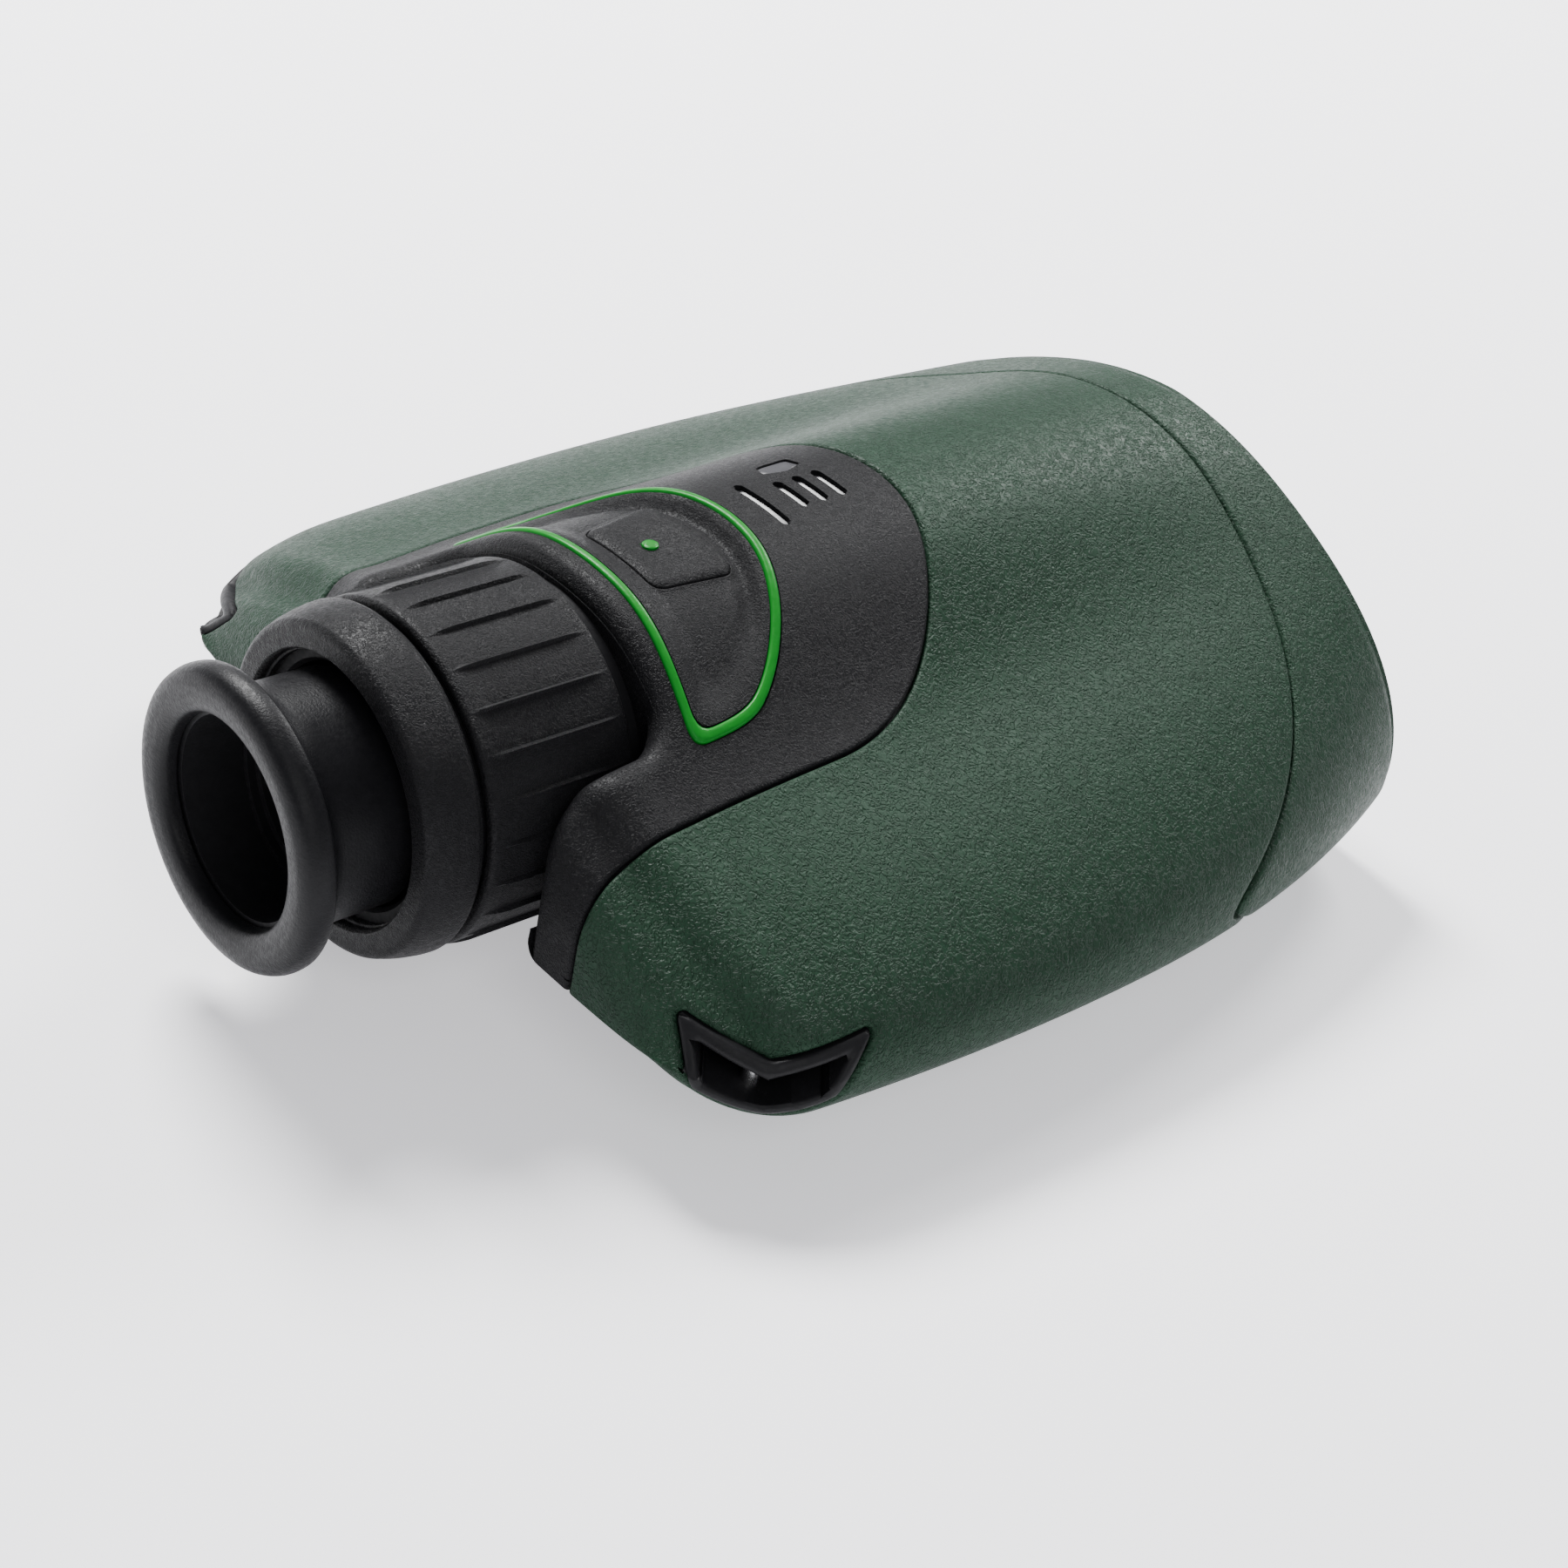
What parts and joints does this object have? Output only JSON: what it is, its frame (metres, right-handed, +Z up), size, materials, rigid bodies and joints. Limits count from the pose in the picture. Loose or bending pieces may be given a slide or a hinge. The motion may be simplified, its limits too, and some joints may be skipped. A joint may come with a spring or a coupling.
{
  "type": "laser rangefinder",
  "caption": "Handheld laser rangefinder with a wide arched rubber body, twist-in eyecup, ribbed focus ring, top button, lanyard slots and a front battery cap.",
  "frame": {"origin": "on the flat underside, straight below the optical axis, about the middle of the body's length", "axes": "+Y along the optical axis towards the target, +X to the user's right, +Z up"},
  "size_m": [0.1038, 0.1283, 0.0403],
  "materials": {
    "armour": "dark green pebbled rubber armour",
    "plate": "fine-grained black",
    "grip_rubber": "fine-grained black rubber",
    "seal_rubber": "smooth",
    "shell": "moulded, fibre filled",
    "accent": "satin bright green",
    "glass": "coated optical glass",
    "light_metal": "bead blasted",
    "metal": "stainless",
    "board": "solder mask",
    "cell_wrap": "plain sleeve"
  },
  "bodies": {
    "housing": {"armour_main": "armour", "armour_front": "armour", "housing_rear": "shell", "housing_front": "shell", "top_plate": "plate", "accent_inlay": "accent", "button_switch": "metal", "eyepiece_mount": "shell", "eyepiece_barrel": "shell", "eyepiece_collar": "plate", "eyecup_seal": "seal_rubber", "eye_lens": "glass", "field_lens": "glass", "lens_spacer": "shell", "lens_retainer": "shell", "prism_frame": "light_metal", "prism_front": "glass", "prism_rear": "glass", "display_module": "board", "objective_cell": "shell", "objective_lens": "glass", "objective_retainer": "shell", "emitter_tube": "light_metal", "emitter_lens": "glass", "laser_diode": "metal", "receiver_module": "metal", "main_board": "board", "board_components": "shell", "battery_tube": "shell", "battery_cell": "cell_wrap", "battery_spring": "metal", "front_panel": "plate", "lanyard_frame_right": "plate", "lanyard_frame_left": "plate", "lanyard_pin_right": "metal", "lanyard_pin_left": "metal", "case_screws": "metal"},
    "diopter": {"diopter_ring": "grip_rubber"},
    "cup_slide": {"eyecup_sleeve": "shell"},
    "cup": {"eyecup": "grip_rubber"},
    "button": {"measuring_button": "plate", "button_dot": "accent"},
    "cap_slide": {"battery_seal": "seal_rubber"},
    "cap": {"battery_cap": "plate"}
  },
  "joints": [
    {"name": "diopter_turn", "type": "hinge", "parent": "housing", "child": "diopter", "pos_m": [0, -0.048, 0.02], "axis": [0, 1, 0], "range_deg": [-60, 60]},
    {"name": "eyecup_slide", "type": "slide", "parent": "housing", "child": "cup_slide", "axis": [0, 1, 0], "range_m": [0, 0.0075]},
    {"name": "eyecup_twist", "type": "hinge", "parent": "cup_slide", "child": "cup", "pos_m": [0, -0.064, 0.02], "axis": [0, 1, 0], "range_deg": [0, 120]},
    {"name": "button_press", "type": "slide", "parent": "housing", "child": "button", "axis": [0, 0, -1], "range_m": [0, 0.0006], "stiffness_N_per_m": 900, "springref_m": -0.0006},
    {"name": "battery_cap_travel", "type": "slide", "parent": "housing", "child": "cap_slide", "axis": [0, 1, 0], "range_m": [0, 0.0024]},
    {"name": "battery_cap_unscrew", "type": "hinge", "parent": "cap_slide", "child": "cap", "pos_m": [-0.027, 0.049, 0.016], "axis": [0, 1, 0], "range_deg": [0, 1080]}
  ],
  "couplings": [
    {"joint": "eyecup_slide", "follows": "eyecup_twist", "m_per_rad": 0.00358},
    {"joint": "battery_cap_unscrew", "follows": "battery_cap_travel", "rad_per_m": 7854}
  ]
}
